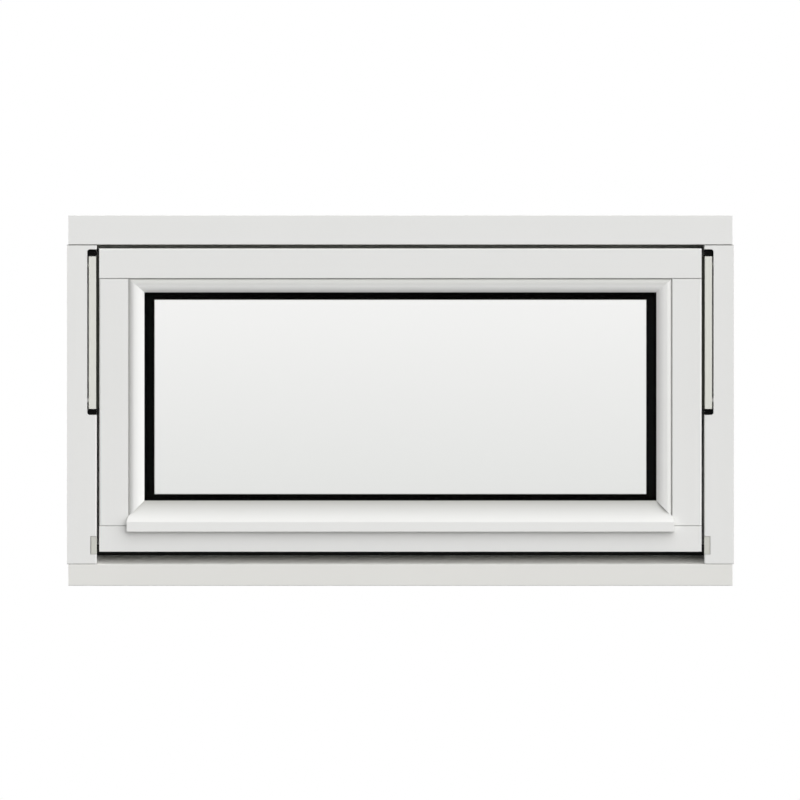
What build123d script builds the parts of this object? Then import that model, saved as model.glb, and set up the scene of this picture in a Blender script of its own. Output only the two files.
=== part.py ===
"""Top-swing pivot window: painted timber frame and sash, sealed double glazing, sliding hinges in the jambs."""

import os

from build123d import *

os.makedirs("parts", exist_ok=True)

# The window stands upright with its outer face towards -Y. The origin is on the
# sill's underside, at mid width and mid depth. All sizes are millimetres.

# Outer frame
frame_width = 990.0
frame_height = 550.0
frame_depth = 115.0
head_setback = 2.0  # head and sill stop this short of the jambs' outer faces
jamb_face = 44.3
head_face = 43.6
sill_nose = 32.0
sill_rise = 12.5  # the weathering's rise from the nose to the stop
sill_stop_top = 66.0
stop_fall = 1.5  # the sill stop's top falls this much towards the room
stop_depth = 53.0
jamb_stop_step = 18.7
head_stop_drop = 18.4
arris = 2.2
joint_arris = 1.0
foot_arris = 0.8  # sharper arris under the sash foot and outside the jambs
head_seam = 1.2  # fine groove where the head meets a jamb
seam = 0.7  # fine groove at every other joint
seam_depth = 5.0
drip_groove_width = 6.0
drip_groove_depth = 5.0

# Gaps round the closed sash
side_gap = 3.6
top_gap = 5.7
back_gap = 5.0
sill_gap = 18.4
seal_gap = 0.3
seal_width = 6.0
seal_round = 1.2
head_seal_step = 0.5  # from the head seal to the bevel behind it
sill_seal_lap = 11.0  # how far up the sash foot the sill seal reaches

# Sash
stile_face = 43.4
top_rail_face = 44.5
bottom_rail_face = 38.3
upstand_depth = 13.5
side_bead_width = 23.7
top_bead_width = 20.7
drip_bead_height = 37.7
drip_bead_nose = 14.8
drip_bead_reach = 10.5  # how far the nose stands in front of the sash
drip_bead_cove = 3.5  # how far the weathering dips below a straight slope
drip_bead_lap = 2.8  # how far each end of the nose runs over the stile
bead_crown_share = 0.34  # crown's place across the bead
bead_crown_proud = 1.2
bead_quirk = 6.0  # how deep the groove between bead and stile runs
bead_lip = 5.8
mitre_break = 6.7  # the lower mitre flattens this far from the stile
mitre_break_drop = 17.4
mitre_drop = 22.9

# Glass unit
pane = 4.0
cavity = 14.0
tape = 2.0
glass_clearance = 5.0
seal_sight_side = 14.5  # black edge seal that shows inside the beads
seal_sight_top = 10.5
seal_sight_bottom = 9.2

# Hinges
pivot_setback = 12.5  # the pivot line's depth behind the outer face
shoe_pin_drop = 25.15  # the shoe's pin sits this far under the sash top
arm_width = 16.0
arm_thickness = 6.1
hinge_rail_width = 11.1
hinge_rail_inset = 1.5
hinge_rail_over = 13.3  # rail past the shoe's pin and past the frame's pin
hinge_rail_under = 13.0
hinge_sheet = 1.5
web_sheet = 2.0
pin_radius = 4.0
boss_radius = 5.5
running_gap = 0.05
groove_side_gap = 1.0
groove_end_gap = 9.0
groove_depth = 30.0
groove_width = 14.2
shoe_length = 30.0
shoe_width = 12.0
shoe_thickness = 6.0
track_sheet = 1.5

# Guide blocks let into the jambs beside the sash foot
guide_width = 9.0
guide_height = 26.0
guide_depth = 20.0
guide_bottom = 47.0
guide_recess = 0.4  # the block's face lies this far behind the jamb's
pocket_gap = 0.5

# Fixing holes through the jambs
fixing_radius = 4.0
fixing_head_radius = 8.0
fixing_head_depth = 6.0
fixing_y = -11.0
fixing_from_end = 120.0

# Handle
rosette_length = 62.0
rosette_height = 28.0
rosette_depth = 8.0
handle_z = 96.0
neck_radius = 8.0
neck_length = 26.0
lever_length = 112.0
lever_thickness = 11.0
lever_width = 18.0
lever_crank = 6.0  # the grip stands this much further into the room than the hub

# Derived planes of the frame
half_width = frame_width / 2
half_rail = half_width - head_setback
front_y = -frame_depth / 2
back_y = frame_depth / 2
stop_y = back_y - stop_depth
reveal_x = half_width - jamb_face
stop_x = reveal_x - jamb_stop_step
head_z = frame_height - head_face
head_stop_z = head_z - head_stop_drop

# Derived planes of the sash
sash_x = reveal_x - side_gap
sash_top = head_z - top_gap
sash_bottom = sill_nose + sill_gap
sash_back = stop_y - back_gap
stile_x = sash_x - stile_face
sight_x = stile_x - side_bead_width
top_rail_z = sash_top - top_rail_face
bottom_rail_z = sash_bottom + bottom_rail_face
sight_top = top_rail_z - top_bead_width
sight_bottom = bottom_rail_z + drip_bead_height
upstand_y = sash_back - upstand_depth
glass_step_z = sight_bottom - side_bead_width

# Derived planes of the glass unit
unit_back = upstand_y - tape
inner_pane_y = unit_back - pane
outer_pane_y = inner_pane_y - cavity
unit_front = outer_pane_y - pane
unit_x = stile_x - glass_clearance
unit_top = top_rail_z - glass_clearance
unit_bottom = glass_step_z + glass_clearance

# Derived hinge lines
pivot_y = front_y + pivot_setback
frame_pin_z = (sash_top + sash_bottom) / 2
shoe_pin_z = sash_top - shoe_pin_drop
link = (shoe_pin_z - frame_pin_z) / 2  # arm length, and its distance to the shoe's pin
arm_pin_z = frame_pin_z + link
hinge_rail_x = reveal_x + groove_side_gap
hinge_rail_out = hinge_rail_x + hinge_rail_width
hinge_rail_front = front_y + hinge_rail_inset
hinge_rail_top = shoe_pin_z + hinge_rail_over
hinge_rail_foot = frame_pin_z - hinge_rail_under
flange_back = pivot_y + arm_width / 2
arm_x = hinge_rail_x + (hinge_rail_width - arm_thickness) / 2
arm_out = arm_x + arm_thickness
groove_x = reveal_x + groove_width
groove_back = front_y + groove_depth
groove_top = hinge_rail_top + groove_end_gap + 1.6
groove_foot = hinge_rail_foot - groove_end_gap
shoe_x = groove_x - 0.5
shoe_out = shoe_x + shoe_thickness
track_base = shoe_out + 0.6
track_out = track_base + track_sheet
track_half = shoe_width / 2 + 0.3
track_top = shoe_pin_z + shoe_length / 2 + 3.0
track_foot = frame_pin_z - 12.0
guide_x = reveal_x + guide_width
bevel_depth = 8.0  # keeps the sash head inside its turning circle
bevel_height = sash_top - shoe_pin_z + 0.4


def block(x0, x1, y0, y1, z0, z1, mode=Mode.ADD):
    """Adds the box between two corners to the open part."""
    low = (min(x0, x1), min(y0, y1), min(z0, z1))
    size = (abs(x1 - x0), abs(y1 - y0), abs(z1 - z0))
    with Locations(low):
        Box(*size, align=(Align.MIN, Align.MIN, Align.MIN), mode=mode)


def rod(x0, x1, z, radius, mode=Mode.ADD):
    """Adds a round bar along X on the pivot line at height z."""
    with Locations(Location(((x0 + x1) / 2, pivot_y, z), (0, 90, 0))):
        Cylinder(radius, abs(x1 - x0), mode=mode)


def across(x):
    """Plane for a section in Y and Z at the given x, looking along +X."""
    return Plane(origin=(x, 0, 0), x_dir=(0, 1, 0), z_dir=(1, 0, 0))


def elevation(y):
    """Plane for a shape in X and Z at the given y, looking along -Y."""
    return Plane(origin=(0, y, 0), x_dir=(1, 0, 0), z_dir=(0, -1, 0))


def corner(section, u, v):
    """The sketch corner nearest to the point u, v of its own plane."""
    return section.vertices().sort_by_distance((u, v, 0))[0]


def save(part, label):
    """Labels a finished part and writes it."""
    part.label = label
    export_step(part, "parts/" + label + ".step")


def make_sill():
    with BuildPart() as sill:
        with BuildSketch(across(-half_rail)) as base:
            with BuildLine():
                Polyline(
                    (front_y, 0),
                    (back_y, 0),
                    (back_y, sill_nose),
                    (front_y, sill_nose),
                    close=True,
                )
            make_face()
            fillet([corner(base, front_y, 0), corner(base, front_y, sill_nose)], joint_arris)
        extrude(amount=2 * half_rail)
        with BuildSketch(across(-reveal_x)):
            with BuildLine():
                Polyline(
                    (front_y + joint_arris, sill_nose),
                    (stop_y, sill_nose + sill_rise),
                    (stop_y, sill_nose),
                    close=True,
                )
            make_face()
        extrude(amount=2 * reveal_x)
        with BuildSketch(across(-stop_x)) as stop:
            with BuildLine():
                Polyline(
                    (stop_y, sill_nose),
                    (stop_y, sill_stop_top),
                    (back_y, sill_stop_top - stop_fall),
                    (back_y, sill_nose),
                    close=True,
                )
            make_face()
            rounded = [corner(stop, stop_y, sill_stop_top), corner(stop, back_y, sill_stop_top)]
            fillet(rounded, arris)
        extrude(amount=2 * stop_x)
        groove_y = front_y + 2 * drip_groove_width
        block(-half_rail, half_rail, groove_y, groove_y + drip_groove_width, 0, drip_groove_depth, Mode.SUBTRACT)
    save(sill.part, "sill")


def make_head():
    with BuildPart() as head:
        with BuildSketch(across(-half_rail)) as body:
            with BuildLine():
                Polyline(
                    (front_y, head_z),
                    (back_y, head_z),
                    (back_y, frame_height),
                    (front_y, frame_height),
                    close=True,
                )
            make_face()
            fillet([corner(body, front_y, head_z), corner(body, front_y, frame_height)], joint_arris)
        extrude(amount=2 * half_rail)
        with BuildSketch(across(-stop_x)) as stop:
            with BuildLine():
                Polyline(
                    (stop_y, head_stop_z),
                    (back_y, head_stop_z),
                    (back_y, head_z),
                    (stop_y, head_z),
                    close=True,
                )
            make_face()
            fillet([corner(stop, stop_y, head_stop_z), corner(stop, back_y, head_stop_z)], arris)
        extrude(amount=2 * stop_x)
    save(head.part, "head")


def make_jamb(side, label):
    with BuildPart() as jamb:
        with BuildSketch(Plane.XY.offset(sill_nose)) as section:
            with BuildLine():
                Polyline(
                    (side * half_width, front_y),
                    (side * reveal_x, front_y),
                    (side * reveal_x, stop_y),
                    (side * stop_x, stop_y),
                    (side * stop_x, back_y),
                    (side * half_width, back_y),
                    close=True,
                )
            make_face()
            reveal_edge = corner(section, side * reveal_x, front_y)
            stop_edge = corner(section, side * stop_x, back_y)
            outer_edge = corner(section, side * half_width, front_y)
            fillet([reveal_edge, stop_edge], arris)
            fillet(outer_edge, foot_arris)
        extrude(amount=head_z - sill_nose)
        with BuildSketch(elevation(front_y)):
            with BuildLine():
                Polyline(
                    (side * (reveal_x - 1), groove_foot),
                    (side * groove_x, groove_foot),
                    (side * groove_x, groove_top),
                    (side * (reveal_x - 1), groove_top),
                    close=True,
                )
            corners = make_face()
            ends = corners.vertices().sort_by(Axis.X)
            fillet(ends[-2:] if side > 0 else ends[:2], 4.0)
        extrude(amount=-groove_depth, mode=Mode.SUBTRACT)
        track_wall = track_half + track_sheet
        block(
            side * groove_x,
            side * track_out,
            pivot_y - track_wall,
            pivot_y + track_wall,
            track_foot,
            track_top,
            Mode.SUBTRACT,
        )
        block(
            side * reveal_x,
            side * (guide_x + pocket_gap),
            front_y,
            front_y + guide_depth,
            guide_bottom - pocket_gap,
            guide_bottom + guide_height + pocket_gap,
            Mode.SUBTRACT,
        )
        for low, high in ((sill_nose, sill_nose + seam), (head_z - head_seam, head_z)):
            block(
                side * reveal_x,
                side * half_width,
                front_y,
                front_y + seam_depth,
                low,
                high,
                Mode.SUBTRACT,
            )
        for z in (fixing_from_end, frame_height - fixing_from_end):
            with Locations(Location((side * (reveal_x + half_width) / 2, fixing_y, z), (0, 90, 0))):
                Cylinder(fixing_radius, jamb_face, mode=Mode.SUBTRACT)
            head_x = side * (reveal_x + fixing_head_depth / 2)
            with Locations(Location((head_x, fixing_y, z), (0, 90, 0))):
                Cylinder(fixing_head_radius, fixing_head_depth, mode=Mode.SUBTRACT)
    save(jamb.part, label)


def seal_section(u0, u1, root, lip):
    """Corner points of a seal that tapers from its root to its lip."""
    taper = (u1 - u0) / 4
    return ((u0, root), (u1, root), (u1 - taper, lip), (u0 + taper, lip))


def make_cross_seal(label, z0, z1, root_y, lip_y):
    """Seal along X that stands out of a face and points to the sash."""
    with BuildPart() as seal:
        with BuildSketch(across(-reveal_x)) as section:
            with BuildLine():
                Polyline(*((v, u) for u, v in seal_section(z0, z1, root_y, lip_y)), close=True)
            make_face()
            lips = section.vertices().sort_by(Axis.X)[:2]
            fillet(lips, seal_round)
        extrude(amount=2 * reveal_x)
    save(seal.part, label)


def make_seals():
    lip = sash_back + seal_gap
    with BuildPart() as head_seal:
        with BuildSketch(across(-reveal_x)) as section:
            with BuildLine():
                root = sash_back - bevel_depth - head_seal_step - seal_width
                points = seal_section(root, root + seal_width, head_z, sash_top + seal_gap)
                Polyline(*points, close=True)
            make_face()
            fillet(section.vertices().sort_by(Axis.Y)[:2], seal_round)
        extrude(amount=2 * reveal_x)
    save(head_seal.part, "head_seal")
    foot = sill_nose + sill_rise + seal_gap
    make_cross_seal("sill_seal", foot, sash_bottom + sill_seal_lap, stop_y, lip)
    for side, label in ((-1, "left_seal"), (1, "right_seal")):
        with BuildPart() as jamb_seal:
            with BuildSketch(Plane.XY.offset(sill_stop_top)) as section:
                with BuildLine():
                    low = side * (stop_x + 3.0)
                    points = seal_section(low, low + side * seal_width, stop_y, lip)
                    Polyline(*points, close=True)
                make_face()
                fillet(section.vertices().sort_by(Axis.Y)[:2], seal_round)
            extrude(amount=head_stop_z - sill_stop_top)
        save(jamb_seal.part, label)


def make_track(side, label):
    """Shoe track let into the jamb, with the stud that carries the arm."""
    wall = track_half + track_sheet
    with BuildPart() as track:
        block(side * groove_x, side * track_out, pivot_y - wall, pivot_y + wall, track_foot, track_top)
        block(
            side * groove_x,
            side * track_base,
            pivot_y - track_half,
            pivot_y + track_half,
            track_foot,
            track_top,
            Mode.SUBTRACT,
        )
        rod(side * (arm_out + 0.7), side * track_base, frame_pin_z, boss_radius)
        rod(side * (arm_x + 0.2), side * (arm_out + 0.7), frame_pin_z, pin_radius)
    save(track.part, label)


def make_guide(side, label):
    with BuildPart() as guide:
        block(
            side * reveal_x,
            side * guide_x,
            front_y + guide_recess,
            front_y + guide_depth,
            guide_bottom,
            guide_bottom + guide_height,
        )
        outer = guide.edges().filter_by(Axis.Z).group_by(Axis.Y)[0]
        chamfer(outer, 0.8)
    save(guide.part, label)


def make_hinge_rail(side, label):
    """Channel on the sash edge, open behind, with the pins of the arm and the shoe."""
    with BuildPart() as rail:
        block(
            side * hinge_rail_x,
            side * hinge_rail_out,
            hinge_rail_front,
            flange_back,
            hinge_rail_foot,
            hinge_rail_top,
        )
        front_edges = rail.edges().filter_by(Axis.Z).group_by(Axis.Y)[0]
        fillet(front_edges, 1.2)
        block(
            side * (hinge_rail_x + hinge_sheet),
            side * (hinge_rail_out - hinge_sheet),
            hinge_rail_front + web_sheet,
            flange_back,
            hinge_rail_foot,
            hinge_rail_top,
            Mode.SUBTRACT,
        )
        notch = boss_radius + 2.0
        block(
            side * (hinge_rail_out - hinge_sheet),
            side * hinge_rail_out,
            pivot_y,
            flange_back,
            frame_pin_z - notch,
            frame_pin_z + notch,
            Mode.SUBTRACT,
        )
        rod(side * (hinge_rail_out - hinge_sheet), side * hinge_rail_out, frame_pin_z, notch, Mode.SUBTRACT)
        inner = side * (hinge_rail_x + hinge_sheet)
        rod(inner, side * (hinge_rail_out - hinge_sheet), arm_pin_z, pin_radius)
        rod(inner, side * (shoe_out - 0.5), shoe_pin_z, pin_radius)
    save(rail.part, label)


def make_packer(side, label):
    with BuildPart() as packer:
        block(side * sash_x, side * hinge_rail_x, pivot_y + 1, flange_back, hinge_rail_foot, hinge_rail_top)
    save(packer.part, label)


def make_arm(side, label):
    """Flat link with round ends, bored for the frame's stud and the sash pin."""
    with BuildPart() as arm:
        with BuildSketch(across(side * arm_x)):
            with Locations((pivot_y, (frame_pin_z + arm_pin_z) / 2)):
                SlotCenterToCenter(link, arm_width, rotation=90)
            with Locations((pivot_y, frame_pin_z), (pivot_y, arm_pin_z)):
                Circle(pin_radius + running_gap, mode=Mode.SUBTRACT)
        extrude(amount=side * arm_thickness)
    save(arm.part, label)


def make_shoe(side, label):
    with BuildPart() as shoe:
        with BuildSketch(across(side * shoe_x)):
            with Locations((pivot_y, shoe_pin_z)):
                RectangleRounded(shoe_width, shoe_length, 2.0)
                Circle(pin_radius + running_gap, mode=Mode.SUBTRACT)
        extrude(amount=side * shoe_thickness)
    save(shoe.part, label)


def make_top_rail():
    with BuildPart() as rail:
        with BuildSketch(across(-sash_x)) as section:
            with BuildLine():
                Polyline(
                    (front_y, top_rail_z),
                    (sash_back, top_rail_z),
                    (sash_back, sash_top - bevel_height),
                    (sash_back - bevel_depth, sash_top),
                    (front_y, sash_top),
                    close=True,
                )
            make_face()
            fillet(corner(section, front_y, sash_top), arris)
            fillet(corner(section, front_y, top_rail_z), joint_arris)
        extrude(amount=2 * sash_x)
        block(-sight_x, sight_x, upstand_y, sash_back, sight_top, top_rail_z)
    save(rail.part, "sash_top_rail")


def make_bottom_rail():
    with BuildPart() as rail:
        with BuildSketch(across(-sash_x)) as section:
            with BuildLine():
                Polyline(
                    (front_y, sash_bottom),
                    (sash_back, sash_bottom),
                    (sash_back, bottom_rail_z),
                    (front_y, bottom_rail_z),
                    close=True,
                )
            make_face()
            fillet(corner(section, front_y, sash_bottom), foot_arris)
            fillet(corner(section, front_y, bottom_rail_z), joint_arris)
        extrude(amount=2 * sash_x)
        block(-stile_x, stile_x, unit_front, upstand_y, bottom_rail_z, glass_step_z)
        block(-sight_x, sight_x, upstand_y, sash_back, bottom_rail_z, sight_bottom)
    save(rail.part, "sash_bottom_rail")


def make_stile(side, label):
    with BuildPart() as stile:
        with BuildSketch(Plane.XY.offset(bottom_rail_z)) as section:
            with BuildLine():
                Polyline(
                    (side * sash_x, front_y),
                    (side * stile_x, front_y),
                    (side * stile_x, upstand_y),
                    (side * sight_x, upstand_y),
                    (side * sight_x, sash_back),
                    (side * sash_x, sash_back),
                    close=True,
                )
            make_face()
            fillet(corner(section, side * sash_x, front_y), arris)
        extrude(amount=top_rail_z - bottom_rail_z)
        for low, high in ((bottom_rail_z, bottom_rail_z + seam), (top_rail_z - seam, top_rail_z)):
            block(side * stile_x, side * sash_x, front_y, front_y + seam_depth, low, high, Mode.SUBTRACT)
    save(stile.part, label)


def make_side_bead(side, label):
    """Ovolo bead with a quirk at the stile, mitred above and scribed to the drip bead below."""
    with BuildPart() as bead:
        with BuildSketch(Plane.XY.offset(bottom_rail_z)):
            with BuildLine():
                crown_x = side * (stile_x - side_bead_width * bead_crown_share)
                crown = (crown_x, front_y - bead_crown_proud)
                quirk = (side * stile_x, front_y + bead_quirk)
                lip = (side * sight_x, front_y + bead_lip)
                TangentArc(crown, quirk, tangent=(side, 0))
                TangentArc(crown, lip, tangent=(-side, 0))
                Polyline(lip, (side * sight_x, unit_front), (side * stile_x, unit_front), quirk)
            make_face()
        extrude(amount=top_rail_z - bottom_rail_z)
        with BuildSketch(elevation(front_y - 10)):
            with BuildLine():
                Polyline(
                    (side * sight_x, sight_bottom),
                    (side * (stile_x - mitre_break), sight_bottom - mitre_break_drop),
                    (side * stile_x, sight_bottom - mitre_drop),
                    (side * stile_x, top_rail_z),
                    (side * sight_x, sight_top),
                    close=True,
                )
            make_face()
        extrude(amount=-40, mode=Mode.INTERSECT)
    save(bead.part, label)


def make_top_bead():
    with BuildPart() as bead:
        with BuildSketch(across(-stile_x)):
            with BuildLine():
                crown = (front_y - bead_crown_proud, top_rail_z - top_bead_width * bead_crown_share)
                quirk = (front_y + bead_quirk, top_rail_z)
                lip = (front_y + bead_lip, sight_top)
                TangentArc(crown, quirk, tangent=(0, 1))
                TangentArc(crown, lip, tangent=(0, -1))
                Polyline(lip, (unit_front, sight_top), (unit_front, top_rail_z), quirk)
            make_face()
        extrude(amount=2 * stile_x)
        with BuildSketch(elevation(front_y - 10)):
            with BuildLine():
                Polyline(
                    (-sight_x, sight_top),
                    (sight_x, sight_top),
                    (stile_x, top_rail_z),
                    (-stile_x, top_rail_z),
                    close=True,
                )
            make_face()
        extrude(amount=-40, mode=Mode.INTERSECT)
    save(bead.part, "top_bead")


def make_drip_bead():
    """Weathered bottom bead whose nose throws water clear of the bottom rail."""
    nose_y = front_y - drip_bead_reach
    nose_top = bottom_rail_z + 5.9
    nose_foot = nose_top - drip_bead_nose
    half_nose = stile_x + drip_bead_lap
    top = Vector(front_y + bead_lip, sight_bottom)
    nose = Vector(nose_y, nose_top)
    slope = (nose - top).normalized()
    dip = (top + nose) / 2 + Vector(-slope.Y, slope.X) * drip_bead_cove
    with BuildPart() as bead:
        with BuildSketch(across(-half_nose)) as section:
            with BuildLine():
                ThreePointArc(top, dip, nose)
                Polyline(
                    nose,
                    (nose_y, nose_foot),
                    (nose_y + 4.0, nose_foot),
                    (nose_y + 4.0, nose_foot + 3.5),
                    (nose_y + 8.0, nose_foot + 3.5),
                    (nose_y + 8.0, nose_foot + 0.6),
                    (front_y - 0.2, nose_foot + 3.0),
                    (front_y - 0.2, bottom_rail_z + 0.2),
                    (unit_front, bottom_rail_z + 0.2),
                    (unit_front, sight_bottom),
                    top,
                )
            make_face()
            fillet(corner(section, nose_y, nose_top), 1.6)
            fillet(corner(section, nose_y, nose_foot), 1.0)
        extrude(amount=2 * half_nose)
        with BuildSketch(elevation(nose_y - 5)):
            with BuildLine():
                right = [
                    (sight_x, sight_bottom),
                    (stile_x - mitre_break, sight_bottom - mitre_break_drop),
                    (stile_x, sight_bottom - mitre_drop),
                    (half_nose, nose_top + 1.5),
                    (half_nose, nose_foot - 5),
                ]
                left = [(-x, z) for x, z in reversed(right)]
                Polyline(*right, *left, close=True)
            make_face()
        extrude(amount=-60, mode=Mode.INTERSECT)
        for side in (-1, 1):
            block(
                side * stile_x,
                side * (half_nose + 1),
                front_y - 0.2,
                unit_front + 1,
                nose_foot,
                sight_bottom,
                Mode.SUBTRACT,
            )
    save(bead.part, "drip_bead")


def make_glass():
    for label, y in (("outer_pane", unit_front), ("inner_pane", inner_pane_y)):
        with BuildPart() as sheet:
            block(-unit_x, unit_x, y, y + pane, unit_bottom, unit_top)
        save(sheet.part, label)
    with BuildPart() as spacer:
        block(-unit_x, unit_x, outer_pane_y, inner_pane_y, unit_bottom, unit_top)
        block(
            -(sight_x - seal_sight_side),
            sight_x - seal_sight_side,
            outer_pane_y,
            inner_pane_y,
            sight_bottom + seal_sight_bottom,
            sight_top - seal_sight_top,
            Mode.SUBTRACT,
        )
    save(spacer.part, "edge_spacer")
    with BuildPart() as bedding:
        block(-unit_x, unit_x, unit_back, upstand_y, unit_bottom, unit_top)
        block(-sight_x - 1, sight_x + 1, unit_back, upstand_y, sight_bottom + 1, sight_top - 1, Mode.SUBTRACT)
    save(bedding.part, "glazing_tape")


def make_handle():
    """Rosette on the bottom rail, and a lever that lies along the rail when locked."""
    with BuildPart() as rosette:
        with BuildSketch(elevation(sash_back)):
            with Locations((0, handle_z)):
                SlotOverall(rosette_length, rosette_height)
        extrude(amount=-rosette_depth, taper=6)
        face = sash_back + rosette_depth
        with Locations(Location((0, face - 2, handle_z), (90, 0, 0))):
            Cylinder(neck_radius + running_gap, 4.0, mode=Mode.SUBTRACT)
        for x in (-1, 1):
            screw_x = x * (rosette_length / 2 - rosette_height / 3)
            with Locations(Location((screw_x, face - 1.5, handle_z), (90, 0, 0))):
                Cylinder(3.2, 3.0, mode=Mode.SUBTRACT)
    save(rosette.part, "handle_rosette")
    foot = sash_back + rosette_depth - 3.0
    grip_y = foot + neck_length - 1.0
    with BuildPart() as lever:
        with BuildSketch(elevation(foot)):
            with Locations((0, handle_z)):
                Circle(neck_radius)
        extrude(amount=-neck_length)
        with BuildSketch(Plane.XY.offset(handle_z - lever_width / 2)) as plan:
            with BuildLine():
                end = lever_length + lever_width / 2
                hub = lever_width / 2
                Polyline(
                    (-hub, grip_y),
                    (-hub, grip_y + lever_thickness),
                    (end, grip_y + lever_thickness + lever_crank),
                    (end, grip_y + lever_crank),
                    (lever_length * 0.4, grip_y + lever_crank),
                    (hub * 1.4, grip_y),
                    close=True,
                )
            make_face()
            far_back = corner(plan, end, grip_y + lever_thickness + lever_crank)
            fillet([corner(plan, end, grip_y + lever_crank), far_back], lever_thickness * 0.4)
            fillet(corner(plan, -hub, grip_y + lever_thickness), 3.0)
        extrude(amount=lever_width)
        with BuildSketch(elevation(grip_y - 1)):
            with Locations((lever_length / 2, handle_z)):
                SlotCenterToCenter(lever_length, lever_width)
            with Locations((0, handle_z)):
                Circle(lever_width / 2)
        extrude(amount=-60, mode=Mode.INTERSECT)
        with BuildSketch(elevation(foot)):
            with Locations((0, handle_z)):
                Circle(neck_radius)
        extrude(amount=-neck_length)
    save(lever.part, "handle_lever")


make_sill()
make_head()
make_jamb(-1, "left_jamb")
make_jamb(1, "right_jamb")
make_seals()
for side, hand in ((-1, "left_"), (1, "right_")):
    make_track(side, hand + "hinge_track")
    make_guide(side, hand + "guide_block")
    make_hinge_rail(side, hand + "hinge_rail")
    make_packer(side, hand + "hinge_packer")
    make_arm(side, hand + "hinge_arm")
    make_shoe(side, hand + "hinge_shoe")
    make_stile(side, hand + "sash_stile")
    make_side_bead(side, hand + "bead")
make_top_rail()
make_bottom_rail()
make_top_bead()
make_drip_bead()
make_glass()
make_handle()
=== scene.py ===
import math

import bmesh
import bpy
import numpy as np
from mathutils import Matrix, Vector


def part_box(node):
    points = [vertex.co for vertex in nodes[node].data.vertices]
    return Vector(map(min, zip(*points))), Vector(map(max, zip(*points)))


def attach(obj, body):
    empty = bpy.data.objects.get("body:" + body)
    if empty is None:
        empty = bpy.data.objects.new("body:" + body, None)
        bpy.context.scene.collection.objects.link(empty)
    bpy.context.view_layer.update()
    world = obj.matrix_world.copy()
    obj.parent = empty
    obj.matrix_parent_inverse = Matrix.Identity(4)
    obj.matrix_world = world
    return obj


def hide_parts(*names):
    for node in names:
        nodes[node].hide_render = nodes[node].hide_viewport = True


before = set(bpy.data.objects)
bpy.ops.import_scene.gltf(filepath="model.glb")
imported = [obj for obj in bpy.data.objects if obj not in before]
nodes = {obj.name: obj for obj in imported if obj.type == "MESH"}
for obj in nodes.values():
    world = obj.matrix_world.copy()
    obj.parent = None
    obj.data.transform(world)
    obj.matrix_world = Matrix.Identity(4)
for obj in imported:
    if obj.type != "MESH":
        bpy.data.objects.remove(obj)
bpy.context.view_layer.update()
print("stage: window loaded, pieces", len(nodes))


def newGroup(name, inputs):
    # every finish group puts out a colour, a roughness and a height
    group = bpy.data.node_groups.new(name, "ShaderNodeTree")
    for title, kind, value in inputs:
        socket = group.interface.new_socket(name=title, in_out="INPUT", socket_type="NodeSocket" + kind)
        socket.default_value = value
    for title, kind in (("Colour", "Color"), ("Roughness", "Float"), ("Height", "Float")):
        group.interface.new_socket(name=title, in_out="OUTPUT", socket_type="NodeSocket" + kind)
    source = addNode(group, "NodeGroupInput", (-1100, 0))
    sink = addNode(group, "NodeGroupOutput", (1300, 0))
    return group, source.outputs, sink.inputs


def addNode(tree, kind, place, **settings):
    node = tree.nodes.new(kind)
    node.location = place
    for key, value in settings.items():
        setattr(node, key, value)
    return node


def feed(tree, socket, value):
    # a number or tuple sets the socket, another node's output is linked to it
    if isinstance(value, (int, float, tuple)):
        socket.default_value = value
    elif value is not None:
        tree.links.new(value, socket)


def mathNode(tree, operation, place, first=None, second=None, third=None):
    node = addNode(tree, "ShaderNodeMath", place, operation=operation)
    for socket, value in zip(node.inputs, (first, second, third)):
        feed(tree, socket, value)
    return node.outputs[0]


def noiseNode(tree, vector, scale, detail, place, roughness=0.5):
    node = addNode(tree, "ShaderNodeTexNoise", place)
    feed(tree, node.inputs["Scale"], scale)
    node.inputs["Detail"].default_value = detail
    node.inputs["Roughness"].default_value = roughness
    tree.links.new(vector, node.inputs["Vector"])
    return node.outputs["Fac"]


def rangeNode(tree, value, low, high, place):
    # 0 at low, 1 at high, straight between and clamped outside
    node = addNode(tree, "ShaderNodeMapRange", place)
    feed(tree, node.inputs["Value"], value)
    feed(tree, node.inputs["From Min"], low)
    feed(tree, node.inputs["From Max"], high)
    return node.outputs[0]


def mixColour(tree, factor, first, second, place):
    # a Mix node keeps its colour sockets at 6 and 7
    node = addNode(tree, "ShaderNodeMix", place, data_type="RGBA")
    for socket, value in ((node.inputs[0], factor), (node.inputs[6], first), (node.inputs[7], second)):
        feed(tree, socket, value)
    return node.outputs[2]


def stretchedCoords(tree, coords, stretch, place):
    node = addNode(tree, "ShaderNodeVectorMath", place, operation="MULTIPLY")
    tree.links.new(coords, node.inputs[0])
    tree.links.new(stretch, node.inputs[1])
    return node.outputs[0]


def driftTone(tree, colour, noise, share):
    # the colour times 1 + share*(noise - 0.5)
    centred = mathNode(tree, "SUBTRACT", (-450, 150), noise, 0.5)
    tone = mathNode(tree, "MULTIPLY_ADD", (-250, 150), centred, share, 1.0)
    node = addNode(tree, "ShaderNodeVectorMath", (-50, 200), operation="SCALE")
    feed(tree, node.inputs[0], colour)
    feed(tree, node.inputs["Scale"], tone)
    return node.outputs[0]


paintPattern = {"grainScale": 260.0, "grainDetail": 5.0, "grainRoughness": 0.62, "peelScale": 900.0, "peelDetail": 2.0,
                "driftScale": 5.0, "driftDetail": 3.0, "cornerRays": 6, "cornerCurve": 1.5,
                "leastRoughness": 0.30, "roughnessSpread": 0.16}


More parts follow.
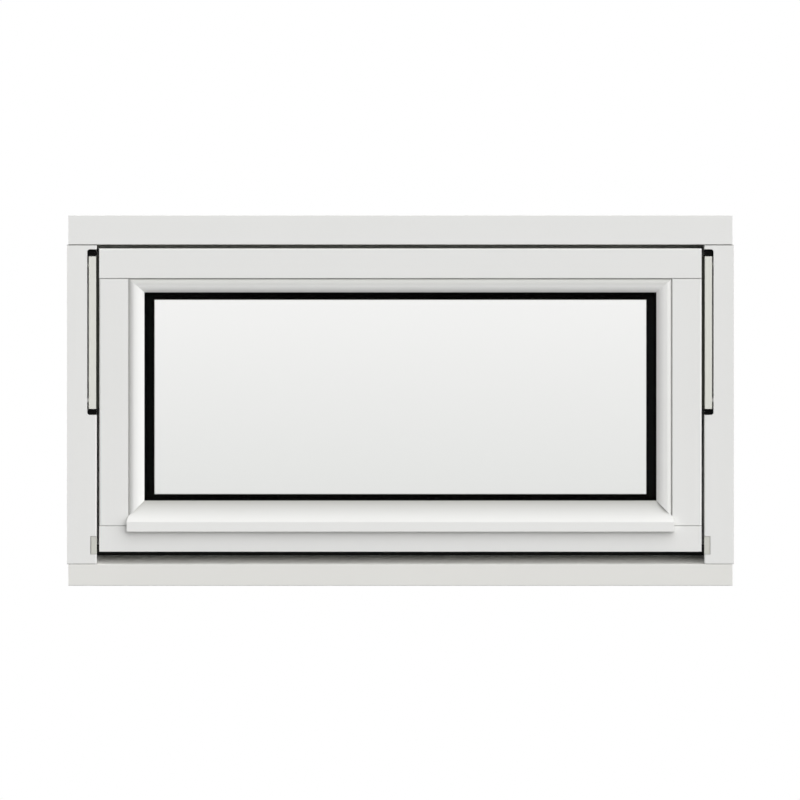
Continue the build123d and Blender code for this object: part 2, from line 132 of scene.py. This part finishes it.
def buildPaintGroup():
    # sprayed paint over timber: stretched noise for the grain that shows through, a fine orange peel,
    # a broad drift of tone, painted shade that darkens the corners by ambient occlusion, and painted shade
    # that deepens along the shade axis from its clean end to its full end
    p = paintPattern
    group, source, sink = newGroup("sprayedPaint", [
        ("Paint", "Color", (0.8, 0.8, 0.79, 1)), ("Shade colour", "Color", (0.42, 0.41, 0.38, 1)),
        ("Stretch", "Vector", (1, 1, 1)), ("Grain", "Float", 0.35), ("Peel", "Float", 0.25), ("Drift", "Float", 0.03),
        ("Corner shade", "Float", 0.5), ("Reach", "Float", 0.006), ("Painted shade", "Float", 0.0),
        ("Painted shade axis", "Vector", (0, 0, 1)), ("Painted shade clean", "Float", 0.0), ("Painted shade full", "Float", 1.0),
        ("Painted shade curve", "Float", 1.2)])
    coords = addNode(group, "ShaderNodeTexCoord", (-1100, -300)).outputs["Object"]
    stretched = stretchedCoords(group, coords, source["Stretch"], (-900, -200))
    grain = noiseNode(group, stretched, p["grainScale"], p["grainDetail"], (-700, -200), p["grainRoughness"])
    peel = noiseNode(group, coords, p["peelScale"], p["peelDetail"], (-700, -450))
    drift = noiseNode(group, coords, p["driftScale"], p["driftDetail"], (-700, 150))
    grainPart = mathNode(group, "MULTIPLY", (-450, -200), grain, source["Grain"])
    peelPart = mathNode(group, "MULTIPLY", (-450, -450), peel, source["Peel"])
    group.links.new(mathNode(group, "ADD", (-200, -300), grainPart, peelPart), sink["Height"])
    toned = driftTone(group, source["Paint"], drift, source["Drift"])
    # painted shade: the colour darkens towards the shade colour along the painted shade axis
    along = addNode(group, "ShaderNodeVectorMath", (-900, 600), operation="DOT_PRODUCT")
    group.links.new(coords, along.inputs[0])
    group.links.new(source["Painted shade axis"], along.inputs[1])
    shadeRamp = rangeNode(group, along.outputs["Value"], source["Painted shade clean"], source["Painted shade full"], (-600, 600))
    shadeCurved = mathNode(group, "POWER", (-400, 600), shadeRamp, source["Painted shade curve"])
    shadeShare = mathNode(group, "MULTIPLY", (-200, 600), shadeCurved, source["Painted shade"])
    shadedColour = mixColour(group, shadeShare, toned, source["Shade colour"], (200, 400))
    # painted shade: ambient occlusion darkens corners, seams and quirks towards the shade colour
    corner = addNode(group, "ShaderNodeAmbientOcclusion", (0, 700), samples=p["cornerRays"])
    group.links.new(source["Reach"], corner.inputs["Distance"])
    hidden = mathNode(group, "SUBTRACT", (200, 700), 1.0, corner.outputs["AO"])
    shut = mathNode(group, "POWER", (350, 600), hidden, p["cornerCurve"])
    amount = mathNode(group, "MULTIPLY", (550, 600), shut, source["Corner shade"])
    group.links.new(mixColour(group, amount, shadedColour, source["Shade colour"], (800, 400)), sink["Colour"])
    rough = mathNode(group, "MULTIPLY_ADD", (200, -100), drift, p["roughnessSpread"], p["leastRoughness"])
    group.links.new(rough, sink["Roughness"])
    return group


mouldedPattern = {"fineDetail": 3.0, "broadScale": 14.0, "broadDetail": 3.0, "roughnessSpread": 0.18}


def buildMouldedGroup():
    # moulded plastic or rubber: spark-eroded texture and a slow change of tone and roughness
    p = mouldedPattern
    group, source, sink = newGroup("mouldedSkin", [
        ("Tint", "Color", (0.1, 0.1, 0.1, 1)), ("Texture", "Float", 1400.0), ("Drift", "Float", 0.25),
        ("Least roughness", "Float", 0.5)])
    coords = addNode(group, "ShaderNodeTexCoord", (-1100, -300)).outputs["Object"]
    fine = noiseNode(group, coords, source["Texture"], p["fineDetail"], (-700, -200))
    broad = noiseNode(group, coords, p["broadScale"], p["broadDetail"], (-700, 150))
    group.links.new(fine, sink["Height"])
    group.links.new(driftTone(group, source["Tint"], broad, source["Drift"]), sink["Colour"])
    rough = mathNode(group, "MULTIPLY_ADD", (0, -100), broad, p["roughnessSpread"], source["Least roughness"])
    group.links.new(rough, sink["Roughness"])
    return group


metalPattern = {"lineScale": 1500.0, "lineDetail": 2.0, "cloudScale": 70.0, "cloudDetail": 4.0, "cloudRoughness": 0.6,
                "wearStart": 0.5, "wearFull": 0.72, "roughnessSpread": 0.22}


def buildMetalGroup():
    # rolled, plated sheet: long drawing lines, cloudy plating and worn spots
    p = metalPattern
    group, source, sink = newGroup("platedSheet", [
        ("Plate", "Color", (0.6, 0.6, 0.6, 1)), ("Worn", "Color", (0.45, 0.45, 0.44, 1)),
        ("Stretch", "Vector", (1, 1, 0.03)), ("Wear", "Float", 0.3), ("Least roughness", "Float", 0.3)])
    coords = addNode(group, "ShaderNodeTexCoord", (-1100, -300)).outputs["Object"]
    stretched = stretchedCoords(group, coords, source["Stretch"], (-900, -200))
    lines = noiseNode(group, stretched, p["lineScale"], p["lineDetail"], (-700, -200))
    cloud = noiseNode(group, coords, p["cloudScale"], p["cloudDetail"], (-700, 150), p["cloudRoughness"])
    group.links.new(lines, sink["Height"])
    spots = rangeNode(group, cloud, p["wearStart"], p["wearFull"], (-450, 200))
    amount = mathNode(group, "MULTIPLY", (-200, 200), spots, source["Wear"])
    group.links.new(mixColour(group, amount, source["Plate"], source["Worn"], (100, 200)), sink["Colour"])
    rough = mathNode(group, "MULTIPLY_ADD", (0, -100), cloud, p["roughnessSpread"], source["Least roughness"])
    group.links.new(rough, sink["Roughness"])
    return group


paintGroup = buildPaintGroup()
mouldedGroup = buildMouldedGroup()
metalGroup = buildMetalGroup()
print("stage: shader groups built")


def newMaterial(name, group, values, bump, relief, metallic=0.0, specular=0.5):
    # bump is the strength of the group's height and relief its depth in metres
    material = bpy.data.materials.new(name)
    material.use_nodes = True
    tree = material.node_tree
    shader = tree.nodes["Principled BSDF"]
    shader.inputs["Metallic"].default_value = metallic
    shader.inputs["Specular IOR Level"].default_value = specular
    finish = addNode(tree, "ShaderNodeGroup", (-500, 0), node_tree=group)
    for key, value in values.items():
        finish.inputs[key].default_value = value
    bumped = bumpNode(tree, finish.outputs["Height"], bump, relief)
    tree.links.new(bumped, shader.inputs["Normal"])
    tree.links.new(finish.outputs["Colour"], shader.inputs["Base Color"])
    tree.links.new(finish.outputs["Roughness"], shader.inputs["Roughness"])
    return material


def bumpNode(tree, height, strength, distance):
    node = addNode(tree, "ShaderNodeBump", (-250, -250))
    node.inputs["Strength"].default_value = strength
    node.inputs["Distance"].default_value = distance
    tree.links.new(height, node.inputs["Height"])
    return node.outputs["Normal"]


paintSettings = {
    "frame": (0.80, 0.80, 0.785, 1),
    # the beads' paint is paler than the frame's: painted light for the brighter light on their rounded faces
    "bead": (0.82, 0.82, 0.805, 1),
    "sill": (0.78, 0.775, 0.745, 1),
    # colour and reach of the painted shade, in the corners and along the shade axis
    "shadeColour": (0.36, 0.36, 0.33, 1),
    "shadeReach": 0.006,
    "grain": 0.35,
    "peel": 0.2,
    "drift": 0.03,
    "bump": 0.25,
    "relief": 0.0006,
    "specular": 0.35,
    "alongX": (0.04, 1.0, 1.0),
    "alongZ": (1.0, 1.0, 0.04),
}

# each coat of paint: its colour, the way its grain runs and how strongly painted shade darkens its corners
paintCoats = {
    "framePaintX": ("frame", "alongX", 0.9),
    "framePaintZ": ("frame", "alongZ", 0.9),
    "sashPaintX": ("frame", "alongX", 0.5),
    "sashPaintZ": ("frame", "alongZ", 0.5),
    "sillPaint": ("sill", "alongX", 0.1),
    "topBeadPaint": ("bead", "alongX", 0.1),
    "leftBeadPaint": ("bead", "alongZ", 0.05),
    "rightBeadPaint": ("bead", "alongZ", 0.1),
    "dripPaint": ("bead", "alongX", 0.4),
}

# the coats whose colour darkens towards one side of their node, the side that the axis points to: painted shade at the
# outer quirks of the beads and on the drip bead's slope below the glass
paintedShadeSettings = {
    "topBeadPaint": {"node": "top_bead", "axis": (0, 0, 1), "share": 0.58, "reach": 0.0115, "curve": 0.6},
    "leftBeadPaint": {"node": "left_bead", "axis": (-1, 0, 0), "share": 0.12, "reach": 0.0115, "curve": 1.2},
    "rightBeadPaint": {"node": "right_bead", "axis": (1, 0, 0), "share": 0.4, "reach": 0.0115, "curve": 1.2},
    "dripPaint": {"node": "drip_bead", "axis": (0, 0, 1), "share": 0.72, "reach": 0.0365, "curve": 1.7},
}


def paintedShadeOn(name):
    # painted shade: full at the node's far side along the axis, clean a reach before it
    if name not in paintedShadeSettings:
        return {}
    s = paintedShadeSettings[name]
    full = (np.array(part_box(s["node"])) @ np.array(s["axis"], float)).max()
    return {"Painted shade": s["share"], "Painted shade axis": s["axis"], "Painted shade clean": full - s["reach"], "Painted shade full": full,
            "Painted shade curve": s["curve"]}


def paintFor(name, colour, stretch, cornerShade):
    s = paintSettings
    values = {"Paint": s[colour], "Shade colour": s["shadeColour"], "Stretch": s[stretch], "Grain": s["grain"], "Peel": s["peel"],
              "Drift": s["drift"], "Corner shade": cornerShade, "Reach": s["shadeReach"], **paintedShadeOn(name)}
    return newMaterial(name, paintGroup, values, s["bump"], s["relief"], specular=s["specular"])


glassSettings = {"topReflectionTint": (0.945, 0.945, 0.94, 1), "footReflectionTint": (0.876, 0.88, 0.872, 1), "foot": 0.13, "top": 0.43,
                 "ior": 1.13, "rippleScale": 6.0, "rippleDetail": 1.0, "ripple": 0.02, "rippleDepth": 0.0005}


def buildGlass(name):
    # float glass with a low IOR so that it reflects little, a slow ripple, and a tint that deepens towards the sill as
    # painted reflection of a sky that fades downwards
    s = glassSettings
    material = bpy.data.materials.new(name)
    material.use_nodes = True
    tree = material.node_tree
    shader = tree.nodes["Principled BSDF"]
    shader.inputs["Transmission Weight"].default_value = 1.0
    shader.inputs["IOR"].default_value = s["ior"]
    shader.inputs["Roughness"].default_value = 0.0
    coords = addNode(tree, "ShaderNodeTexCoord", (-900, 0)).outputs["Object"]
    apart = addNode(tree, "ShaderNodeSeparateXYZ", (-700, 0))
    tree.links.new(coords, apart.inputs[0])
    # painted reflection: the tint darkens from the top of the pane down to its foot
    height = rangeNode(tree, apart.outputs["Z"], s["foot"], s["top"], (-500, 0))
    tree.links.new(mixColour(tree, height, s["footReflectionTint"], s["topReflectionTint"], (-250, 0)), shader.inputs["Base Color"])
    ripple = noiseNode(tree, coords, s["rippleScale"], s["rippleDetail"], (-500, -300))
    tree.links.new(bumpNode(tree, ripple, s["ripple"], s["rippleDepth"]), shader.inputs["Normal"])
    return material


# each finish: the inputs of its group, then the strength and depth of its relief and how it shines
mouldedFinishes = {
    "edgeSeal": ({"Tint": (0.0015, 0.0015, 0.0015, 1), "Least roughness": 0.8},
                 {"bump": 0.1, "relief": 0.0002, "specular": 0.0}),
    "sealant": ({"Tint": (0.002, 0.002, 0.002, 1), "Least roughness": 0.7, "Texture": 900.0},
                {"bump": 0.2, "relief": 0.0003, "specular": 0.01}),
    "sealRubber": ({"Tint": (0.02, 0.02, 0.018, 1), "Least roughness": 0.65},
                   {"bump": 0.2, "relief": 0.0003, "specular": 0.1}),
    "greyRubber": ({"Tint": (0.19, 0.19, 0.165, 1), "Least roughness": 0.65},
                   {"bump": 0.2, "relief": 0.0003, "specular": 0.15}),
    # a paler copy of the grey rubber for the head gasket: painted light in the gap above the sash
    "litHeadRubber": ({"Tint": (0.45, 0.45, 0.41, 1), "Least roughness": 0.65},
                   {"bump": 0.2, "relief": 0.0003, "specular": 0.15}),
    "blackMoulding": ({"Tint": (0.004, 0.004, 0.004, 1), "Least roughness": 0.6},
                      {"bump": 0.2, "relief": 0.0003, "specular": 0.06}),
    "packerMoulding": ({"Tint": (0.07, 0.07, 0.06, 1), "Least roughness": 0.6},
                       {"bump": 0.2, "relief": 0.0003, "specular": 0.1}),
    "guideMoulding": ({"Tint": (0.60, 0.60, 0.55, 1), "Least roughness": 0.42, "Drift": 0.08},
                      {"bump": 0.2, "relief": 0.0003, "specular": 0.4}),
    "handleCoat": ({"Tint": (0.76, 0.76, 0.74, 1), "Least roughness": 0.3, "Drift": 0.04, "Texture": 1800.0},
                   {"bump": 0.12, "relief": 0.0003, "specular": 0.5}),
}
metalFinishes = {
    "spacerMetal": ({"Plate": (0.30, 0.30, 0.26, 1), "Worn": (0.22, 0.22, 0.2, 1), "Wear": 0.3,
                     "Stretch": (0.03, 1, 0.03)}, {"bump": 0.1, "relief": 0.0001, "specular": 0.05}),
    "hingeCoat": ({"Plate": (0.73, 0.73, 0.675, 1), "Worn": (0.66, 0.66, 0.61, 1), "Wear": 0.25,
                   "Least roughness": 0.35}, {"bump": 0.12, "relief": 0.0002, "specular": 0.4}),
    "hingeSteel": ({"Plate": (0.5, 0.5, 0.49, 1), "Worn": (0.34, 0.34, 0.33, 1), "Wear": 0.5,
                    "Least roughness": 0.3}, {"bump": 0.15, "relief": 0.0002, "metallic": 1.0}),
    "screwSteel": ({"Plate": (0.62, 0.62, 0.6, 1), "Worn": (0.45, 0.45, 0.43, 1), "Wear": 0.4,
                    "Stretch": (1, 1, 1), "Least roughness": 0.25}, {"bump": 0.1, "relief": 0.0001, "metallic": 1.0}),
}

materials = {"glass": buildGlass("floatGlass")}
for name, coat in paintCoats.items():
    materials[name] = paintFor(name, *coat)
for group, finishes in ((mouldedGroup, mouldedFinishes), (metalGroup, metalFinishes)):
    for name, (inputs, surface) in finishes.items():
        materials[name] = newMaterial(name, group, inputs, **surface)

materialOf = {
    "sill": "sillPaint", "head": "framePaintX", "left_jamb": "framePaintZ", "right_jamb": "framePaintZ",
    # the head gasket takes the paler rubber as painted light and the sill gasket the near-black rubber as painted
    # shade, in the gaps above and below the sash
    "head_seal": "litHeadRubber", "sill_seal": "sealRubber", "left_seal": "greyRubber", "right_seal": "greyRubber",
    "sash_top_rail": "sashPaintX", "sash_bottom_rail": "sashPaintX",
    "left_sash_stile": "sashPaintZ", "right_sash_stile": "sashPaintZ",
    "top_bead": "topBeadPaint", "drip_bead": "dripPaint",
    "left_bead": "leftBeadPaint", "right_bead": "rightBeadPaint",
    "outer_pane": "glass", "inner_pane": "glass", "edge_spacer": "edgeSeal", "glazing_tape": "sealRubber",
    "handle_rosette": "handleCoat", "handle_lever": "handleCoat",
}
hingeMaterials = {"hinge_track": "hingeSteel", "hinge_rail": "hingeCoat", "hinge_arm": "hingeSteel",
                  "hinge_shoe": "blackMoulding", "hinge_packer": "packerMoulding", "guide_block": "guideMoulding"}
for hand in ("left_", "right_"):
    materialOf.update({hand + title: material for title, material in hingeMaterials.items()})

for name, obj in nodes.items():
    for place in obj.material_slots:
        place.material = materials[materialOf[name]]
print("stage: finishes on", len(materialOf), "pieces")

meshSettings = {"merge": 0.000001, "sharpAngle": 34}


def surfacePiece(name, points, material, closedAlong=False, ends=False):
    # points is a grid: rows follow the piece, columns go round it and close, each cell is one quad
    rows, columns = points.shape[:2]
    index = np.arange(rows * columns).reshape(rows, columns)
    after = np.roll(index, -1, 0)
    cells = np.stack((index, np.roll(index, -1, 1), np.roll(after, -1, 1), after), -1)
    faces = cells[:rows if closedAlong else rows - 1].reshape(-1, 4).tolist()
    if ends:
        faces += [index[0].tolist(), index[-1].tolist()]
    mesh = bpy.data.meshes.new(name)
    mesh.from_pydata(points.reshape(-1, 3).tolist(), [], faces)
    shape = bmesh.new()
    shape.from_mesh(mesh)
    bmesh.ops.remove_doubles(shape, verts=shape.verts, dist=meshSettings["merge"])
    bmesh.ops.recalc_face_normals(shape, faces=shape.faces)
    shape.to_mesh(mesh)
    shape.free()
    mesh.shade_smooth()
    mesh.set_sharp_from_angle(angle=math.radians(meshSettings["sharpAngle"]))
    mesh.materials.append(materials[material])
    piece = bpy.data.objects.new(name, mesh)
    bpy.context.scene.collection.objects.link(piece)
    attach(piece, "root")
    return piece


def ringPoints(outline, opening):
    # a closed outline carried round the four corners of an opening: at the corner with signs (sx, sz) the
    # outline point (out, deep) lies at x = middle + sx*(half width + out), z = middle + sz*(half height + out)
    # and y = deep, so that neighbouring sides meet in a mitre
    signs = np.array([(-1, -1), (1, -1), (1, 1), (-1, 1)], float)
    out, deep = outline[:, 0], outline[:, 1]
    low, high = opening
    middle, half = (low + high) / 2, (high - low) / 2
    x = middle[0] + signs[:, :1] * (half[0] + out)
    z = middle[1] + signs[:, 1:] * (half[1] + out)
    return np.stack((x, np.broadcast_to(deep, x.shape), z), -1)


def edgeSealOpening():
    # the clear opening inside the edge seal: its corner points that lie nearest the middle
    mesh = nodes["edge_spacer"].data
    flat = np.empty(len(mesh.vertices) * 3)
    mesh.vertices.foreach_get("co", flat)
    points = flat.reshape(-1, 3)
    heights = np.unique(np.round(points[:, 2], 5))
    half = np.abs(points[:, 0]).min()
    return np.array((-half, heights[1])), np.array((half, heights[-2]))


# the daylight opening between the beads
sight = (np.array((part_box("left_bead")[1][0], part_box("drip_bead")[1][2])),
         np.array((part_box("right_bead")[0][0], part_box("top_bead")[0][2])))

sealantSettings = {"outsideLeg": 0.0026, "insideLeg": 0.0032, "steps": 12, "bed": 0.00005, "lift": 0.00002}


def runSealant(name, glassFace, leg, side):
    # hollow fillet between wood and glass: a quarter circle of radius leg struck from the open side of the
    # corner, out = leg*(cos t - 1), deep = glass face + side*(leg*(1 - sin t) + lift), closed by a bed in the wood
    s = sealantSettings
    t = np.linspace(0, math.pi / 2, s["steps"])
    arc = np.stack((leg * (np.cos(t) - 1), glassFace + side * (leg * (1 - np.sin(t)) + s["lift"])), -1)
    bed = np.array([(s["bed"], glassFace + side * s["lift"]), (s["bed"], glassFace + side * leg)])
    points = ringPoints(np.concatenate((arc, bed)), sight)
    return surfacePiece(name, points, "sealant", closedAlong=True)


runSealant("outside_sealant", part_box("outer_pane")[0][1], sealantSettings["outsideLeg"], -1)
runSealant("inside_sealant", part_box("inner_pane")[1][1], sealantSettings["insideLeg"], 1)
print("stage: sealant run round both faces of the glass")

spacerSettings = {"rise": 0.0006, "ribRise": 0.00015, "ribs": 4, "inset": 0.0010, "steps": 49, "bed": 0.00005}


def bendSpacer():
    # rolled spacer bar: its face stands rise clear of the edge seal and waves by ribRise*cos(2 pi ribs s)
    # across the cavity, s running from 0 at the outer pane to 1 at the inner one
    s = spacerSettings
    share = np.linspace(0, 1, s["steps"])
    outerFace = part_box("outer_pane")[1][1] + s["inset"]
    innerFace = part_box("inner_pane")[0][1] - s["inset"]
    out = -s["rise"] - s["ribRise"] * np.cos(2 * math.pi * s["ribs"] * share)
    face = np.stack((out, outerFace + (innerFace - outerFace) * share), -1)
    bed = np.array([(s["bed"], innerFace), (s["bed"], outerFace)])
    points = ringPoints(np.concatenate((face, bed)), edgeSealOpening())
    return surfacePiece("spacer_bar", points, "spacerMetal", closedAlong=True)


bendSpacer()
print("stage: spacer bar bent round the cavity")

gasketSettings = {"footShare": 0.24, "bulbShare": 0.38, "waist": 0.28, "steps": 22}
# for each seal, which of x, y and z runs along it, across it and up its bulb
gasketAxes = {"head_seal": (0, 1, 2), "sill_seal": (0, 2, 1), "left_seal": (2, 0, 1), "right_seal": (2, 0, 1)}


def pressGasket(node, along, across, rise):
    # push-in gasket: a flat foot as wide as its groove and a round bulb on it, the bulb's outline being
    # across = r*cos t, rise = depth - r + r*sin t, carried straight from end to end
    s = gasketSettings
    low, high = (np.array(corner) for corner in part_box(node))
    width, depth = high[across] - low[across], high[rise] - low[rise]
    radius = s["bulbShare"] * min(width, depth)
    foot = s["footShare"] * depth
    t = np.linspace(-s["waist"] * math.pi, (1 + s["waist"]) * math.pi, s["steps"])
    bulb = np.stack((radius * np.cos(t), depth - radius + radius * np.sin(t)), -1)
    right = np.array([(width / 2, 0), (width / 2, foot)])
    left = np.array([(-width / 2, foot), (-width / 2, 0)])
    outline = np.concatenate((right, bulb, left))
    points = np.empty((2, len(outline), 3))
    points[..., along] = np.array((low[along], high[along]))[:, None]
    points[..., across] = (low[across] + high[across]) / 2 + outline[:, 0]
    points[..., rise] = high[rise] - outline[:, 1]
    gasket = surfacePiece(node.replace("seal", "gasket"), points, materialOf[node], ends=True)
    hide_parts(node)


for node, axes in gasketAxes.items():
    pressGasket(node, *axes)
print("stage: gaskets pressed in")

screwSettings = {"radius": 0.0030, "crown": 0.0005, "sunk": 0.0003, "skirt": 0.0020, "rings": 22, "turns": 56,
                 "recessReach": 0.0018, "recessHalf": 0.00042, "recessDepth": 0.0011, "edge": 0.00022}


def driveScrew(name, x, face, z):
    # oval head as a height over radius r and turn t: crown*(1 - (r/R)^2) less a cross recess, whose depth
    # fades where the distance to the nearer arm's axis passes recessHalf or r passes recessReach
    s = screwSettings
    r = np.concatenate((np.linspace(0, s["radius"], s["rings"]), (s["radius"], 0)))[:, None]
    t = np.linspace(0, 2 * math.pi, s["turns"], endpoint=False)[None]
    nearer = np.minimum(np.abs(r * np.cos(t)), np.abs(r * np.sin(t)))
    arm = np.clip((s["recessHalf"] - nearer) / s["edge"] + 0.5, 0, 1)
    reach = np.clip((s["recessReach"] - r) / (2 * s["edge"]) + 0.5, 0, 1)
    height = s["crown"] * (1 - (r / s["radius"]) ** 2) - s["recessDepth"] * arm * reach
    height[-2:] = -s["skirt"]
    points = np.stack((x + r * np.cos(t), face - s["sunk"] + height, z + r * np.sin(t)), -1)
    return surfacePiece(name, points, "screwSteel")


def driveScrews():
    # each screw sits a third of the rosette's height in from the middle of its end
    low, high = (np.array(corner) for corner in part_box("handle_rosette"))
    size, middle = high - low, (high + low) / 2
    step = size[0] / 2 - size[2] / 3
    for side, title in ((-1, "left"), (1, "right")):
        driveScrew("rosette_screw_" + title, middle[0] + side * step, high[1], middle[2])


driveScrews()
print("stage: rosette screws driven")

stopSettings = {"grooveWidth": 0.0142, "endGap": 0.0090, "topExtra": 0.0016, "clear": 0.0004, "sideClear": 0.0008,
                "railClear": 0.0008, "recess": 0.0045, "depth": 0.018, "ribs": 3, "ribRise": 0.0005,
                "ribbedShare": 0.94, "rings": 9, "around": 40}


def setStop(name, xRange, zRange, face):
    # moulded black stop that closes the end of the hinge groove, its black also painted shade for the deep groove end:
    # a superellipse
    # |u|^4 + |v|^4 = 1 drawn back into the groove, its front face crossed by ribs of height ribRise*cos(pi ribs v) that fade to the rim
    s = stopSettings
    middle = np.array((sum(xRange) / 2, sum(zRange) / 2))
    half = np.array((xRange[1] - xRange[0], zRange[1] - zRange[0])) / 2
    t = np.linspace(0, 2 * math.pi, s["around"], endpoint=False)
    turn = np.stack((np.cos(t), np.sin(t)), -1)
    rim = np.sign(turn) * np.sqrt(np.abs(turn))
    share = np.concatenate(((0, 1, 1), np.linspace(s["ribbedShare"], 0, s["rings"])))[:, None, None]
    plan = middle + half * rim * share
    height = (plan[..., 1] - middle[1]) / half[1]
    rib = s["ribRise"] * np.cos(math.pi * s["ribs"] * height) * (1 - share[..., 0] ** 4)
    deep = face + s["recess"] - rib
    deep[:2] = face + s["recess"] + s["depth"]
    deep[2] = face + s["recess"] + s["ribRise"]
    points = np.stack((plan[..., 0], deep, plan[..., 1]), -1)
    return surfacePiece(name, points, "blackMoulding")


def setStops():
    # one below and one above each hinge rail, from the reveal to the far side of the groove
    s = stopSettings
    for hand, side in (("left_", -1), ("right_", 1)):
        railLow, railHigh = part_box(hand + "hinge_rail")
        reveal = np.abs(np.array(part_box(hand + "guide_block"))[:, 0]).min()
        inner, outer = reveal + s["clear"], reveal + s["grooveWidth"] - s["sideClear"]
        xRange = sorted((side * inner, side * outer))
        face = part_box(hand + "jamb")[0][1]
        lower = (railLow[2] - s["endGap"] + s["clear"], railLow[2] - s["railClear"])
        upper = (railHigh[2] + s["railClear"], railHigh[2] + s["endGap"] + s["topExtra"] - s["clear"])
        setStop(hand + "lower_stop", xRange, lower, face)
        setStop(hand + "upper_stop", xRange, upper, face)


setStops()
print("stage: stops set in the hinge grooves")

cameraSettings = {"centre": (-0.0006, 0.2757), "distance": 3.0, "width": 1.1876, "reach": 20.0}


def placeCamera():
    # straight at the front, without perspective, as wide as the photograph at the window's scale
    s = cameraSettings
    data = bpy.data.cameras.new("viewCamera")
    data.type = "ORTHO"
    data.ortho_scale = s["width"]
    data.clip_end = s["reach"]
    camera = bpy.data.objects.new("viewCamera", data)
    camera.location = (s["centre"][0], -s["distance"], s["centre"][1])
    camera.rotation_euler = (math.pi / 2, 0, 0)
    bpy.context.scene.collection.objects.link(camera)
    bpy.context.scene.camera = camera


lightSettings = {
    "key": {"towards": (0.67, -0.59, 0.57), "strength": 3.93, "softness": 112.0},
    "backFill": {"towards": (-0.60, 0.78, 0.12), "strength": 2.3, "softness": 70.0},
    "sky": 0.24,
    "backdrop": 1.0,
}


def hangLight(name):
    # a soft sun that shows in no reflection and not through the glass
    s = lightSettings[name]
    data = bpy.data.lights.new(name, "SUN")
    data.energy = s["strength"]
    data.angle = math.radians(s["softness"])
    lamp = bpy.data.objects.new(name, data)
    lamp.rotation_euler = Vector(s["towards"]).to_track_quat("Z", "Y").to_euler()
    lamp.visible_glossy = False
    lamp.visible_transmission = False
    bpy.context.scene.collection.objects.link(lamp)


def seenRays(tree):
    # 1 for what the camera sees straight on, in a reflection or through the glass, 0 for light
    rays = addNode(tree, "ShaderNodeLightPath", (-900, 300))
    glossy, through = rays.outputs["Is Glossy Ray"], rays.outputs["Is Transmission Ray"]
    mirrored = mathNode(tree, "MAXIMUM", (-650, 200), glossy, through)
    return mathNode(tree, "MAXIMUM", (-450, 300), rays.outputs["Is Camera Ray"], mirrored)


def buildWorld():
    # the sky lights the window plainly, and a white backdrop shows to the camera, in metal and through glass
    world = bpy.data.worlds.new("studio")
    bpy.context.scene.world = world
    world.use_nodes = True
    tree = world.node_tree
    tree.nodes.clear()
    strength = addNode(tree, "ShaderNodeMix", (-200, 100), data_type="FLOAT")
    feed(tree, strength.inputs[0], seenRays(tree))
    feed(tree, strength.inputs[2], lightSettings["sky"])
    feed(tree, strength.inputs[3], lightSettings["backdrop"])
    backdrop = addNode(tree, "ShaderNodeBackground", (50, 0))
    feed(tree, backdrop.inputs["Strength"], strength.outputs[0])
    feed(tree, backdrop.inputs["Color"], (1, 1, 1, 1))
    tree.links.new(backdrop.outputs[0], addNode(tree, "ShaderNodeOutputWorld", (300, 0)).inputs[0])


floorSettings = {"half": 6.0, "drop": 0.0005, "colour": (0.8, 0.8, 0.8, 1), "roughness": 0.7, "glow": 0.32}


def layFloor():
    # a pale floor that glows faintly where it is seen and keeps the window's shadow
    s = floorSettings
    half, z = s["half"], -s["drop"]
    mesh = bpy.data.meshes.new("floor")
    mesh.from_pydata([(-half, -half, z), (half, -half, z), (half, half, z), (-half, half, z)], [], [(0, 1, 2, 3)])
    floor = bpy.data.objects.new("floor", mesh)
    bpy.context.scene.collection.objects.link(floor)
    material = bpy.data.materials.new("paleFloor")
    material.use_nodes = True
    tree = material.node_tree
    shader = tree.nodes["Principled BSDF"]
    shader.inputs["Base Color"].default_value = s["colour"]
    shader.inputs["Roughness"].default_value = s["roughness"]
    shader.inputs["Emission Color"].default_value = (1, 1, 1, 1)
    glow = mathNode(tree, "MULTIPLY", (-200, -200), seenRays(tree), s["glow"])
    tree.links.new(glow, shader.inputs["Emission Strength"])
    mesh.materials.append(material)
    floor.visible_diffuse = False


placeCamera()
hangLight("key")
hangLight("backFill")
buildWorld()
layFloor()
bpy.context.scene.view_settings.view_transform = "Standard"
print("stage: camera, light and floor ready")
